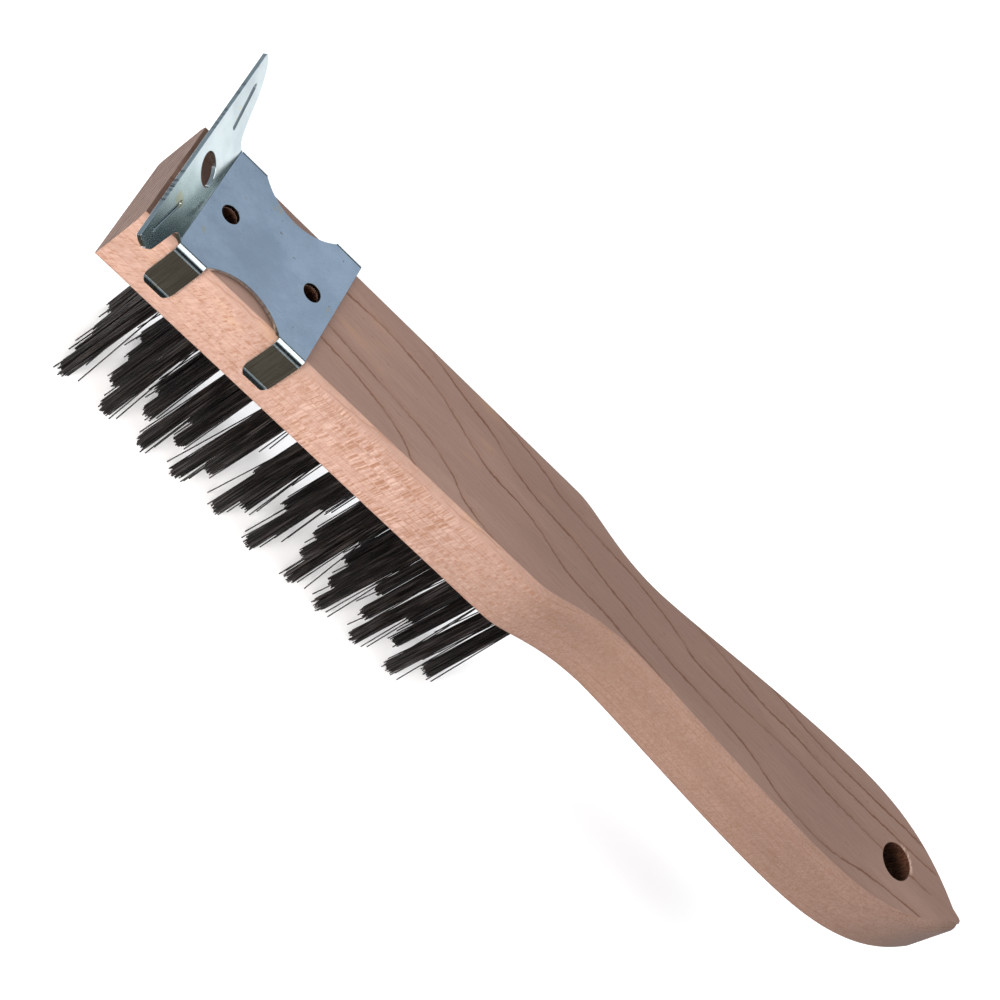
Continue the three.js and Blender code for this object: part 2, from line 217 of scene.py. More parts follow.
def wood_material():
    n = Nodes("maple")
    shift = n.scaled((1000, 1000, 1000), offset=(-FRONT_X * 1000, -MID_Y * 1000, -WOOD_BOTTOM * 1000))
    x, y, z = n.position_parts(shift)         # millimetres from the front end, the middle and the underside
    nx, ny, nz = n.normal_parts()
    top = n.remap(nz, 0.86, 0.97)
    side = n.remap(n.math("ABSOLUTE", ny), 0.40, 0.60)
    upright = n.remap(n.math("ABSOLUTE", ny), 0.80, 0.97)
    end = n.remap(n.math("MULTIPLY", nx, -1.0), 0.75, 0.95)

    # growth lines on the top face
    jitter = n.noise((0.55, 0.9, 0.9), shift, detail=2.0, rough=0.6)
    yj = n.math("MULTIPLY_ADD", n.math("SUBTRACT", jitter, 0.5), 1.1, y)
    along = n.math("DIVIDE", x, LENGTH_MM)
    lines, shade = None, None
    for points in GRAIN_LINES:
        curve = n.add("ShaderNodeFloatCurve")
        mapping = curve.mapping
        c = mapping.curves[0].points
        spots = [(px / LENGTH_MM, (py + 25) / 50) for px, py in points]
        c[0].location, c[1].location = spots[0], spots[-1]
        for s in spots[1:-1]:
            c.new(*s)
        mapping.update()
        n.link(along, curve.inputs["Value"])
        level = n.math("MULTIPLY_ADD", curve.outputs[0], 50.0, -25.0)
        gap = n.math("SUBTRACT", yj, level)
        core = n.remap(n.math("ABSOLUTE", gap), 0.10, 0.48, 1.0, 0.0)
        soft = n.math("MULTIPLY", n.remap(gap, -0.1, 0.1), n.remap(gap, 0.0, 2.6, 1.0, 0.0))
        lines = core if lines is None else n.math("MAXIMUM", lines, core)
        shade = soft if shade is None else n.math("MAXIMUM", shade, soft)
    fade = n.remap(n.noise((0.05, 0.3, 0.3), shift, detail=2.0), 0.30, 0.62, 0.45, 1.0)
    before_tip = n.remap(x, 272.0, 274.0, 1, 0)
    lines = n.math("MULTIPLY", n.math("MULTIPLY", lines, fade), n.math("MULTIPLY", top, before_tip))
    shade = n.math("MULTIPLY", shade, top)

    # fibre streaks and broad tone variation, along the grain
    drift = n.math("MULTIPLY_ADD", x, 0.07, y)
    fibre_at = n.add("ShaderNodeCombineXYZ")
    for i, v in enumerate((x, drift, z)):
        n.link(v, fibre_at.inputs[i])
    fibre = n.noise((0.10, 2.6, 2.6), fibre_at.outputs[0], detail=4.0, rough=0.65)
    grit = n.noise((2.2, 5.0, 5.0), shift, detail=3.0, rough=0.7)
    broad = n.noise((0.016, 0.09, 0.09), fibre_at.outputs[0], detail=2.0, rough=0.55)
    color = n.mix(n.remap(broad, 0.3, 0.7), WOOD_DARK, WOOD_LIGHT)
    color = n.mix(n.math("MULTIPLY", n.remap(fibre, 0.38, 0.68), 0.48), color, (0.125, 0.074, 0.056, 1))
    color = n.mix(n.math("MULTIPLY", n.remap(grit, 0.42, 0.72), 0.42), color, (0.122, 0.074, 0.057, 1))
    color = n.mix(n.math("MULTIPLY", shade, 0.30), color, (0.135, 0.072, 0.048, 1))
    color = n.mix(n.math("MULTIPLY", lines, 0.85), color, (0.078, 0.034, 0.018, 1))
    stain = n.remap(n.noise((0.035, 0.12, 0.12), shift, detail=2.0), 0.60, 0.72)
    stain = n.math("MULTIPLY", stain, n.remap(x, 120.0, 150.0, 1.0, 0.25))
    color = n.mix(n.math("MULTIPLY", stain, 0.40), color, (0.205, 0.122, 0.070, 1))
    pore = n.remap(n.noise((0.55, 1.3, 1.3), shift, detail=1.0), 0.735, 0.765)
    color = n.mix(n.math("MULTIPLY", pore, 0.30), color, (0.070, 0.042, 0.032, 1))

    # painted shadow: the top's first 10 mm, under the leaning blade, is darkened to stand in for the blade's
    # shadow
    painted_blade_shadow = n.math("MULTIPLY", n.remap(x, 10.0, 5.0), top)
    color = n.mix(n.math("MULTIPLY", painted_blade_shadow, 0.55), color, (0.045, 0.022, 0.014, 1))
    darker = n.math("MULTIPLY", n.remap(x, 85.0, 130.0), n.remap(x, 225.0, 265.0, 1.0, 0.0))
    color = n.mix(n.math("MULTIPLY", darker, 0.22), color, (0.060, 0.034, 0.025, 1))

    # quartered sides: short upright ray flecks between faint lengthwise lines
    lean = n.remap(x, 2.0, 48.0, -0.85, -0.10, smooth=False)
    zc = n.math("SUBTRACT", z, 10.0)
    xs = n.math("MULTIPLY_ADD", zc, lean, x)
    rise = n.math("MULTIPLY_ADD", x, -0.055, z)
    wobble = n.noise((0.22, 0.3, 0.5), shift, detail=2.0)
    xs = n.math("MULTIPLY_ADD", n.math("SUBTRACT", wobble, 0.5), 0.7, xs)
    def dashes(height, width, seed):
        """Noise of upright dashes in level rows, and a mask that fades between rows; sizes in mm."""
        level = n.math("MULTIPLY_ADD", n.math("SUBTRACT", wobble, 0.5), 1.4, n.math("DIVIDE", rise, height))
        row = n.math("FLOOR", level)
        part = n.math("ABSOLUTE", n.math("SUBTRACT", n.math("SUBTRACT", level, row), 0.5))
        at = n.add("ShaderNodeCombineXYZ")
        n.link(n.math("DIVIDE", xs, width), at.inputs[0])
        n.link(n.math("MULTIPLY_ADD", row, 3.71, seed), at.inputs[1])
        n.link(n.math("MULTIPLY", level, 0.22), at.inputs[2])
        mark = n.noise((0.5, 1, 1), at.outputs[0], detail=2.0, rough=0.6)
        return mark, n.remap(part, 0.34, 0.50, 1.0, 0.0)

    figured = n.math("MULTIPLY", n.remap(x, 46.0, 60.0), n.remap(x, 100.0, 122.0, 1.0, 0.0))
    on_block = n.remap(x, 118.0, 155.0, 1.0, 0.42)
    tall, tall_row = dashes(3.4, 0.28, 2.0)
    short, short_row = dashes(1.25, 0.36, 40.0)
    tall_dark = n.math("MULTIPLY", n.remap(tall, 0.49, 0.62), tall_row)
    short_dark = n.math("MULTIPLY", n.remap(short, 0.50, 0.64), short_row)
    patchy = n.remap(n.noise((0.16, 0.2, 0.30), shift, detail=2.0), 0.34, 0.58, 0.45, 1.0)
    flecks = n.math("MAXIMUM", n.math("MULTIPLY", tall_dark, figured),
                    n.math("MULTIPLY", short_dark, n.math("MULTIPLY_ADD", figured, -0.35, 0.80)))
    flecks = n.math("MULTIPLY", n.math("MULTIPLY", flecks, patchy), on_block)
    tall_place = n.math("MULTIPLY", tall_row, figured)
    pale = n.math("MAXIMUM", n.math("MULTIPLY", n.remap(tall, 0.47, 0.36), tall_place),
                  n.math("MULTIPLY", n.remap(short, 0.46, 0.34), 0.45))
    pale = n.math("MULTIPLY", pale, on_block)
    band = n.math("FRACT", n.math("MULTIPLY_ADD", n.math("SUBTRACT", wobble, 0.5), 0.5,
                                  n.math("MULTIPLY", rise, 0.47)))
    from_middle = n.math("ABSOLUTE", n.math("SUBTRACT", band, 0.5))
    thin = n.math("MULTIPLY", n.remap(from_middle, 0.02, 0.10, 1.0, 0.0),
                  n.remap(n.noise((0.07, 0.2, 0.5), shift, detail=1.0), 0.42, 0.60))
    side_base = n.mix(1.0, color, (1.22, 1.26, 1.28, 1), "MULTIPLY")
    pale_amount = n.math("MULTIPLY", n.math("MULTIPLY", pale, 0.40), upright)
    side_color = n.mix(pale_amount, side_base, (0.330, 0.238, 0.204, 1))
    flecks = n.math("MULTIPLY", flecks, n.math("MULTIPLY_ADD", upright, 0.75, 0.25))
    side_color = n.mix(n.math("MULTIPLY", flecks, 0.72), side_color, (0.135, 0.060, 0.032, 1))
    side_color = n.mix(n.math("MULTIPLY", thin, 0.45), side_color, (0.130, 0.066, 0.044, 1))
    speck = n.remap(n.noise((1.6, 1.6, 2.2), shift, detail=2.0, rough=0.7), 0.48, 0.66)
    speck = n.math("MULTIPLY", speck, n.remap(x, 110.0, 150.0, 0.05, 0.42))
    side_color = n.mix(speck, side_color, (0.120, 0.066, 0.040, 1))
    # painted shade: the sides are darkened from the block onto the handle, standing in for the key light
    # falling off along the brush
    side_color = n.mix(n.remap(x, 118.0, 150.0, 0.0, 0.14), side_color, (0.045, 0.022, 0.014, 1))
    color = n.mix(side, color, side_color)

    # end face: growth rings as fine, nearly level dark lines
    ring = n.math("MULTIPLY_ADD", y, -0.16, z)
    ring_drift = n.math("SUBTRACT", n.noise((0.1, 0.12, 0.3), shift, detail=2.0), 0.5)
    ring = n.math("MULTIPLY_ADD", ring_drift, 2.6, ring)
    cut = n.math("FRACT", n.math("MULTIPLY", ring, 0.50))
    ring_line = n.math("MULTIPLY", n.remap(cut, 0.30, 0.62), n.remap(cut, 0.76, 0.98, 1.0, 0.0))
    end_grit = n.noise((0.5, 3.0, 6.0), shift, detail=3.0, rough=0.65)
    end_color = n.mix(n.remap(end_grit, 0.3, 0.7), (0.270, 0.188, 0.158, 1), (0.135, 0.084, 0.066, 1))
    end_color = n.mix(n.math("MULTIPLY", ring_line, 0.85), end_color, (0.030, 0.014, 0.009, 1))
    color = n.mix(end, color, end_color)
    # painted shade: inside the bored holes the wood is darkened to near black, standing in for the shade deep
    # in the holes
    hx = n.math("SUBTRACT", x, HANG_X_MM)
    reach = n.math("SQRT", n.math("ADD", n.math("MULTIPLY", hx, hx), n.math("MULTIPLY", y, y)))
    painted_bore_shade = n.math("MULTIPLY", n.remap(reach, 5.50, 5.34), n.remap(nz, 0.5, 0.2))
    for spot in SCREW_X_MM:
        gap = n.math("SUBTRACT", x, spot)
        near = n.math("SQRT", n.math("ADD", n.math("MULTIPLY", gap, gap), n.math("MULTIPLY", y, y)))
        painted_bore_shade = n.math("MAXIMUM", painted_bore_shade, n.remap(near, 2.60, 2.50))
    bore_shade_grit = n.noise((3.0, 3.0, 0.7), shift, detail=3.0, rough=0.7)
    painted_bore_shade_color = n.mix(n.remap(bore_shade_grit, 0.35, 0.65), (0.022, 0.010, 0.006, 1), (0.075, 0.032, 0.020, 1))
    color = n.mix(painted_bore_shade, color, painted_bore_shade_color)
    torn = n.math("MULTIPLY", n.remap(reach, 6.6, 5.5), n.remap(n.math("ADD", hx, y), 5.0, 7.4))
    torn = n.math("MULTIPLY", torn, n.remap(n.noise((0.8, 0.5, 0.5), shift, detail=2.0), 0.42, 0.56))
    torn = n.math("MULTIPLY", torn, n.remap(nz, 0.5, 0.9))
    color = n.mix(n.math("MULTIPLY", torn, 0.6), color, (0.420, 0.290, 0.225, 1))
    n.link(color, n.bsdf.inputs["Base Color"])

    n.link(n.remap(fibre, 0.2, 0.8, 0.50, 0.66, smooth=False), n.bsdf.inputs["Roughness"])
    # sawn and sanded sides and end are duller than the top
    shine = n.math("MULTIPLY_ADD", n.math("MAXIMUM", end, side), -0.26, 0.30)
    n.link(shine, n.bsdf.inputs["Specular IOR Level"])
    fine = n.noise((0.5, 5.0, 5.0), shift, detail=2.0)
    normal = n.bump(fine, 0.16, 0.00012)
    relief = n.math("MULTIPLY", n.math("SUBTRACT", n.math("MULTIPLY", pale, 0.6), flecks), side)
    normal = n.bump(relief, 0.16, 0.00010, normal)
    normal = n.bump(n.math("MULTIPLY", lines, -1.0), 0.12, 0.0001, normal)
    n.link(normal, n.bsdf.inputs["Normal"])
    return n.material


def half_plan():
    """Half plan from the front end to the tip, in millimetres behind the front end."""
    hw, tip = HALF_W / MM, (TIP_X - FRONT_X) / MM
    end_x, neck_x, neck, swell_x = 129.0, 161.0, 12.75, 238.0
    pts = [(-8.0, hw), (30.0, hw), (80.0, hw), (end_x, hw)]
    pts += bezier((end_x, hw), (end_x + 8, hw), (neck_x - 16, neck), (neck_x, neck), 24)
    pts += bezier((neck_x, neck), (neck_x + 12, neck), (swell_x - 26, hw), (swell_x, hw), 30)
    pts += bezier((swell_x, hw), (swell_x + 18, hw), (tip - 15, 15.0), (tip, 0.9), 44)
    return pts


def circle_cutter(spots, sides):
    """One mesh of separate upright cylinders: spots are (x, y, z0, z1, radius)."""
    verts, faces = [], []
    for x, y, z0, z1, r in spots:
        base = len(verts)
        for z in (z0, z1):
            for i in range(sides):
                a = 2 * math.pi * i / sides
                verts.append((x + r * math.cos(a), y + r * math.sin(a), z))
        faces.append(list(range(base + sides - 1, base - 1, -1)))
        faces.append(list(range(base + sides, base + 2 * sides)))
        for i in range(sides):
            j = (i + 1) % sides
            faces.append([base + i, base + j, base + sides + j, base + sides + i])
    return new_object("cutter", verts, faces)


def subtract(obj, cutter):
    mod = obj.modifiers.new("cut", "BOOLEAN")
    mod.operation = "DIFFERENCE"
    mod.solver = "EXACT"
    mod.object = cutter
    apply_modifiers(obj)
    bpy.data.objects.remove(cutter)


def make_wood():
    top_r, top_turn, bottom_r = 4.9, 0.96, 1.6       # the upper rounding stops at a crisp crest
    half = half_plan()
    outline = [(x, -y) for x, y in half] + [(x, y) for x, y in reversed(half)]
    count = len(outline)
    normals = []
    for i in range(count):
        a, b = Vector(outline[i - 1]), Vector(outline[(i + 1) % count])
        d = (b - a).normalized()
        normals.append((d.y, -d.x))

    def ring(inset, z_mm):
        out = []
        for (x, y), (nx, ny) in zip(outline, normals):
            room = max(0.15, abs(y) / max(abs(ny), 0.2) * 0.42)
            d = min(inset, room)
            out.append((local(x - nx * d), across(y - ny * d), z_mm * MM))
        return out

    bottom, top = WOOD_BOTTOM / MM, WOOD_TOP / MM
    rings = []
    for k in range(5):
        a = k / 4 * math.pi / 2
        rings.append(ring(bottom_r * (1 - math.sin(a)), bottom + bottom_r * (1 - math.cos(a))))
    for k in range(11):
        a = k / 10 * top_turn
        rings.append(ring(top_r * (1 - math.cos(a)), top - top_r * (math.sin(top_turn) - math.sin(a))))
    verts = [v for r in rings for v in r]
    faces = [list(range(count - 1, -1, -1)), list(range((len(rings) - 1) * count, len(rings) * count))]
    for k in range(len(rings) - 1):
        for i in range(count):
            j = (i + 1) % count
            faces.append([k * count + i, k * count + j, (k + 1) * count + j, (k + 1) * count + i])
    wood = new_object("wooden_body", verts, faces)

    big = 0.05
    corners = [(local(0) - s * big, y, z) for s in (1, 0) for y in (-big, big) for z in (0, 2 * big)]
    front = new_object("cutter", corners,
                       [[0, 1, 3, 2], [4, 6, 7, 5], [0, 4, 5, 1], [2, 3, 7, 6], [0, 2, 6, 4], [1, 5, 7, 3]])
    subtract(wood, front)
    holes = []
    for name in sorted(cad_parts):
        if name.startswith("tuft_"):
            low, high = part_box(name)
            c = (low + high) / 2
            holes.append((c.x, c.y, WOOD_BOTTOM - 0.001, high.z + 0.0003, 2.25 * MM))
    subtract(wood, circle_cutter(holes, 20))
    bores = [(local(HANG_X_MM), MID_Y, WOOD_BOTTOM - 0.001, WOOD_TOP + 0.001, 5.25 * MM)]
    bores += [(local(x), MID_Y, WOOD_TOP - 0.006, WOOD_TOP + 0.001, 2.45 * MM) for x in SCREW_X_MM]
    subtract(wood, circle_cutter(bores, 56))
    for p in wood.data.polygons:
        p.use_smooth = True
    wood.data.set_sharp_from_angle(angle=math.radians(28))
    bevel = wood.modifiers.new("eased", "BEVEL")
    bevel.width = 0.22 * MM
    bevel.segments = 2
    bevel.limit_method = "ANGLE"
    bevel.angle_limit = math.radians(30)
    weighted = wood.modifiers.new("normals", "WEIGHTED_NORMAL")
    weighted.keep_sharp = True
    wood.data.materials.clear()
    wood.data.materials.append(wood_material())
    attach(wood, "brush")
    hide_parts("handle_block")
    return wood


# ---------------------------------------------------------------- scraper
def zinc_material():
    n = Nodes("zinc_plate")
    cloud = n.noise((90, 90, 90), detail=4.0, rough=0.6)
    fine = n.noise((1500, 1500, 1500), detail=3.0, rough=0.6)
    color = n.mix(n.remap(cloud, 0.3, 0.7), (0.570, 0.655, 0.670, 1), (0.690, 0.775, 0.785, 1))
    color = n.mix(n.math("MULTIPLY", n.remap(fine, 0.50, 0.8), 0.25), color, (0.420, 0.470, 0.500, 1))
    yellow = n.remap(n.noise((150, 150, 150), detail=3.0), 0.665, 0.70)
    color = n.mix(n.math("MULTIPLY", yellow, 0.75), color, (0.720, 0.660, 0.450, 1))
    drawn = n.noise((1700, 90, 60), detail=3.0, rough=0.7)
    ny = n.math("ABSOLUTE", n.normal_parts()[1])
    streak = n.math("MULTIPLY", n.remap(drawn, 0.40, 0.66), n.remap(ny, 0.15, 0.50))
    color = n.mix(n.math("MULTIPLY", streak, 0.55), color, (0.300, 0.300, 0.290, 1))
    blotch = n.remap(n.noise((38, 60, 60), detail=4.0, rough=0.7), 0.46, 0.62)
    color = n.mix(n.math("MULTIPLY", blotch, 0.30), color, (0.470, 0.520, 0.550, 1))
    rust = n.remap(n.noise((620, 620, 620), detail=2.0), 0.735, 0.76)
    color = n.mix(n.math("MULTIPLY", rust, 0.5), color, (0.300, 0.220, 0.160, 1))
    n.link(color, n.bsdf.inputs["Base Color"])
    n.bsdf.inputs["Metallic"].default_value = 1.0
    smear = n.noise((70, 160, 160), detail=1.0, rough=0.5)
    n.link(n.remap(smear, 0.25, 0.8, 0.13, 0.19, smooth=False), n.bsdf.inputs["Roughness"])
    wavy = n.noise((75, 75, 75), detail=1.0)
    normal = n.bump(wavy, 0.10, 0.0004)
    normal = n.bump(fine, 0.02, 0.00001, normal)
    n.link(normal, n.bsdf.inputs["Normal"])
    return n.material


def make_scraper():
    sheet, bend_r = 1.1, 2.3
    top_z = WOOD_TOP / MM + 0.35 + sheet
    tab_out = HALF_W / MM + 0.35 + sheet
    plate_x0, plate_x1 = 9.9, 50.0
    tab_w, tabs = 8.3, (14.35, 45.85)
    flat = tab_out - bend_r                          # half width of the flat part
    lean, fold_r = math.radians(44), 0.7
    fold_run = fold_r * math.tan(lean / 2)
    fold_u = plate_x0 + fold_run                     # where the blade's bend starts
    bend_len = bend_r * math.pi / 2
    knee_z, lip_r, lip_turn = 52.3, 2.0, math.radians(34)
    flank = top_z - bend_r - knee_z
    lip_len = lip_r * lip_turn + 0.95
    tab_end = flat + bend_len + flank + lip_len      # unrolled half width over a tab
    edge_at, skew = 14.195, 0.0085                     # scraping edge, slightly out of square

    def blade_u(s):
        """Unrolled x of a point s above the blade's bend line."""
        return fold_u - fold_r * lean - (s - fold_run)

    def wing(side, root, reach, full):
        """Outline of one end of the blade, from its scraping edge back to the bend."""
        edge = edge_at + skew * side * (reach - 0.7)
        pts = [(edge, reach - 0.7)]
        pts += bezier(pts[-1], (edge, reach - 0.1), (edge - 0.4, reach), (12.9, reach), 7)
        pts += bezier(pts[-1], (12.9 - full, reach - 0.7), (7.3, 32.2), (6.5, 29.0), 14)
        pts += bezier(pts[-1], (5.6, 26.0), (4.6, 23.0), (3.9, root + 3.0), 4)
        pts += bezier(pts[-1], (3.6, root + 2.0), (3.0, root + 1.0), (2.6, root + 0.6), 4)
        pts += bezier(pts[-1], (2.2, root + 0.2), (1.7, root), (1.2, root), 3)
        return [(blade_u(s), y) for s, y in pts] + [(fold_u - 0.12, root)]

    first, second = tabs
    chamfer_w, chamfer_h = 1.5, 2.5

    def tab_outline(centre):
        a, b = max(centre - tab_w / 2, fold_u + 0.06), centre + tab_w / 2
        pts = [(a, flat + 0.1)]
        pts += [(a, tab_end - chamfer_h)]
        pts += bezier((a, tab_end - chamfer_h), (a + 0.05, tab_end - 1.6), (a + 0.7, tab_end - 0.2),
                      (a + chamfer_w, tab_end), 6)
        pts += [(b - chamfer_w, tab_end)]
        pts += bezier((b - chamfer_w, tab_end), (b - 0.7, tab_end - 0.2), (b - 0.05, tab_end - 1.6),
                      (b, tab_end - chamfer_h), 6)
        return pts

    rear = tab_outline(first)
    arc_r, deep = 15.8, 13.3
    x0, x1 = first + tab_w / 2, second - tab_w / 2
    chord = (x1 - x0) / 2
    start_y = deep + arc_r - math.sqrt(arc_r ** 2 - chord ** 2)
    rear += [(x0, start_y)]
    spread = math.asin(chord / arc_r)
    for i in range(1, 25):
        a = -spread + 2 * spread * i / 25
        rear.append(((x0 + x1) / 2 + arc_r * math.sin(a), deep + arc_r - arc_r * math.cos(a)))
    rear += [(x1, start_y)]
    rear += tab_outline(second)
    rear += [(plate_x1, flat - 0.1)]
    far = wing(1, 18.6, 38.6, 2.1) + rear
    near = wing(-1, 17.7, 34.9, 4.0) + rear
    outline = far + [(u, -v) for u, v in reversed(near)]

    # split long edges so that bends stay round
    def divide(loop, step):
        out = []
        for i, p in enumerate(loop):
            q = loop[(i + 1) % len(loop)]
            d = math.dist(p, q)
            parts = max(1, int(d / step))
            for k in range(parts):
                out.append((p[0] + (q[0] - p[0]) * k / parts, p[1] + (q[1] - p[1]) * k / parts))
        return out

    outline = divide(outline, 0.45)
    holes = [((spot, 0.0), PLATE_HOLE_R_MM, 40) for spot in SCREW_X_MM]
    holes.append(((blade_u(BLADE_HOLE_UP_MM), BLADE_HOLE_Y_MM), BLADE_HOLE_R_MM, 64))
    loops = [outline]
    for (cx, cy), r, sides in holes:
        loops.append([(cx + r * math.cos(2 * math.pi * i / sides), cy + r * math.sin(2 * math.pi * i / sides))
                      for i in range(sides)])

    # the sheet's edges are broken by a small chamfer: rim is the cut edge, loops the faces inside the chamfer
    chamfer = 0.08

    def drawn_in(loop, into_sheet):
        area = sum(loop[i - 1][0] * q[1] - q[0] * loop[i - 1][1] for i, q in enumerate(loop))
        turn = math.copysign(chamfer, area) * into_sheet
        out = []
        for i, p in enumerate(loop):
            a, b = loop[i - 1], loop[(i + 1) % len(loop)]
            length = math.dist(a, b)
            out.append((p[0] - (b[1] - a[1]) / length * turn, p[1] + (b[0] - a[0]) / length * turn))
        return out

    rim = [p for loop in loops for p in loop]
    loops = [drawn_in(loop, 1 if k == 0 else -1) for k, loop in enumerate(loops)]
    outline = loops[0]

    def inside(p, loop):
        hit = False
        for i, a in enumerate(loop):
            b = loop[i - 1]
            if (a[1] > p[1]) != (b[1] > p[1]):
                if p[0] < (b[0] - a[0]) * (p[1] - a[1]) / (b[1] - a[1]) + a[0]:
                    hit = not hit
        return hit

    points, edges = [], []
    for loop in loops:
        base = len(points)
        points += loop
        edges += [(base + i, base + (i + 1) % len(loop)) for i in range(len(loop))]
    ribs = [((blade_u(8.2), 0.5 + k * 15.4), (blade_u(10.9), 0.5 + k * 28.8)) for k in (-1, 1)]

    def rib_distance(u, v):
        best = 9.0
        for a, b in ribs:
            ax, ay, bx, by = *a, *b
            t = ((u - ax) * (bx - ax) + (v - ay) * (by - ay)) / ((bx - ax) ** 2 + (by - ay) ** 2)
            t = min(1.0, max(0.0, t))
            best = min(best, math.dist((u, v), (ax + t * (bx - ax), ay + t * (by - ay))))
        return best

    us = [x / 1000 for x in range(int(blade_u(edge_at + 0.4) * 1000), int(plate_x1 * 1000), 620)]
    us += [fold_u - fold_r * lean * i / 8 for i in range(9)]
    vs = [i * 0.62 for i in range(-62, 63)]
    vs += [k * (flat + bend_len * i / 12) for i in range(13) for k in (-1, 1)]
    vs += [k * (tab_end - lip_len + lip_r * lip_turn * i / 6) for i in range(7) for k in (-1, 1)]
    boundary = [Vector(p) for loop in loops for p in loop]
    tree = kdtree.KDTree(len(boundary))
    for i, p in enumerate(boundary):
        tree.insert((p.x, p.y, 0), i)
    tree.balance()
    extra = []
    along, beside = 0.3, 0.13            # spacing of the points that carry the pressed ribs
    for (ax, ay), (bx, by) in ribs:
        length = math.dist((ax, ay), (bx, by))
        tx, ty = (bx - ax) / length, (by - ay) / length
        rib_steps = int(length / along)
        for i in range(-2, rib_steps + 3):
            for j in range(-6, 7):
                extra.append((ax + tx * i * along - ty * j * beside, ay + ty * i * along + tx * j * beside))
    extra += [(u, v) for u in us for v in vs if rib_distance(u, v) > 0.95]
    seen = set()
    for p in extra:
        key = (round(p[0] / 0.1), round(p[1] / 0.1))
        if key in seen:
            continue
        if tree.find((p[0], p[1], 0))[2] < 0.22:
            continue
        if not inside(p, outline) or any(math.dist(p, c) < r + chamfer for c, r, _ in holes):
            continue
        seen.add(key)
        points.append(p)
    co, _, tris, origin, _, _ = geometry.delaunay_2d_cdt([Vector(p) for p in points], edges, [], 0, 1e-5)
    kept = []
    for t in tris:
        c = (sum(co[i].x for i in t) / 3, sum(co[i].y for i in t) / 3)
        if inside(c, outline) and not any(inside(c, loop) for loop in loops[1:]):
            kept.append(tuple(t))

    def roll(u, v):
        """Unrolled point to its place on the bent sheet's upper and outer face, with that face's normal."""
        if u < fold_u:
            s = fold_u - u
            a = min(s / fold_r, lean)
            x, z = fold_u - fold_r * math.sin(a), top_z + fold_r * (1 - math.cos(a))
            rest = s - fold_r * lean
            drop = bend_r * (1 - math.cos(min(max(abs(v) - flat, 0.0) / bend_r, 1.0)))
            z -= drop * max(0.0, 1 - s / 1.4)
            nrm = Vector((math.sin(a), 0, math.cos(a)))
            if rest > 0:
                x -= rest * math.cos(lean)
                z += rest * math.sin(lean)
            d = rib_distance(u, v)
            w = min(max((0.60 - d) / 0.42, 0.0), 1.0)
            press = -0.55 * w * w * (3 - 2 * w)
            return Vector((x, v, z)) + nrm * press, nrm
        k = 1.0 if v > 0 else -1.0
        t = abs(v) - flat
        if t <= 0:
            return Vector((u, v, top_z)), Vector((0, 0, 1))
        a = min(t / bend_r, math.pi / 2)
        y, z = flat + bend_r * math.sin(a), top_z - bend_r * (1 - math.cos(a))
        nrm = Vector((0, k * math.sin(a), math.cos(a)))
        rest = t - bend_len
        if rest > 0:
            down = min(rest, flank)
            z -= down
            rest -= down
        if rest > 0:
            b = min(rest / lip_r, lip_turn)
            y += lip_r * (1 - math.cos(b))
            z -= lip_r * math.sin(b)
            rest -= lip_r * lip_turn
            nrm = Vector((0, k * math.cos(b), math.sin(b)))
            if rest > 0:
                y += rest * math.sin(lip_turn)
                z -= rest * math.cos(lip_turn)
        return Vector((u, k * y, z)), nrm

    upper, lower, facing = [], [], []
    for p in co:
        place, nrm = roll(p.x, p.y)
        under = place - nrm * sheet
        upper.append((local(place.x), across(place.y), place.z * MM))
        lower.append((local(under.x), across(under.y), under.z * MM))
        facing.append(nrm)
    count = len(upper)
    skin, sides = [], {}
    for t in kept:
        a, b, c = (Vector(upper[i]) for i in t)
        want = facing[t[0]] + facing[t[1]] + facing[t[2]]
        tri = t if (b - a).cross(c - a).dot(want) > 0 else (t[0], t[2], t[1])
        skin.append(tri)
        for i in range(3):
            sides[(tri[i], tri[(i + 1) % 3])] = True
    faces = skin + [(c + count, b + count, a + count) for a, b, c in skin]
    verts = upper + lower
    cut = {}
    for i, sources in enumerate(origin):
        first_source = min(sources) if sources else len(rim)
        if first_source < len(rim):
            place, nrm = roll(*rim[first_source])
            cut[i] = len(verts)
            for depth in (chamfer, sheet - chamfer):
                at = place - nrm * depth
                verts.append((local(at.x), across(at.y), at.z * MM))
    for a, b in sides:
        if (b, a) not in sides:
            steps = [(a, b), (cut[a], cut[b]), (cut[a] + 1, cut[b] + 1), (a + count, b + count)]
            for (a0, b0), (a1, b1) in zip(steps, steps[1:]):
                faces.append((b0, a0, a1, b1))
    clip = new_object("sheet_scraper", verts, faces, 35.0)
    loose = bmesh.new()
    loose.from_mesh(clip.data)
    bmesh.ops.delete(loose, geom=[v for v in loose.verts if not v.link_faces], context="VERTS")
    loose.to_mesh(clip.data)
    loose.free()
    clip.data.materials.append(zinc_material())
    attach(clip, "scraper")
    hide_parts("scraper_clip")
    return clip


# ---------------------------------------------------------------- wire tufts
def wire_material():
    n = Nodes("carbon_wire")
    per_wire = n.noise((3200, 3200, 40), detail=1.0)
    along = n.noise((600, 600, 260), detail=3.0, rough=0.6)
    color = n.mix(n.remap(per_wire, 0.48, 0.70), (0.005, 0.004, 0.004, 1), (0.055, 0.047, 0.046, 1))
    color = n.mix(n.math("MULTIPLY", n.remap(along, 0.5, 0.75), 0.4), color, (0.040, 0.027, 0.020, 1))
    n.link(color, n.bsdf.inputs["Base Color"])
    n.bsdf.inputs["Metallic"].default_value = 0.6
    n.bsdf.inputs["Specular IOR Level"].default_value = 0.35
    n.link(n.remap(along, 0.3, 0.7, 0.34, 0.50, smooth=False), n.bsdf.inputs["Roughness"])
    n.link(n.bump(along, 0.15, 0.00005), n.bsdf.inputs["Normal"])
    return n.material


WIRE_R = 0.175 * MM
WIRES_PER_TUFT = 58
WIRE_SIDES = 6
WIRE_STEPS = 5
STRAYS = 6


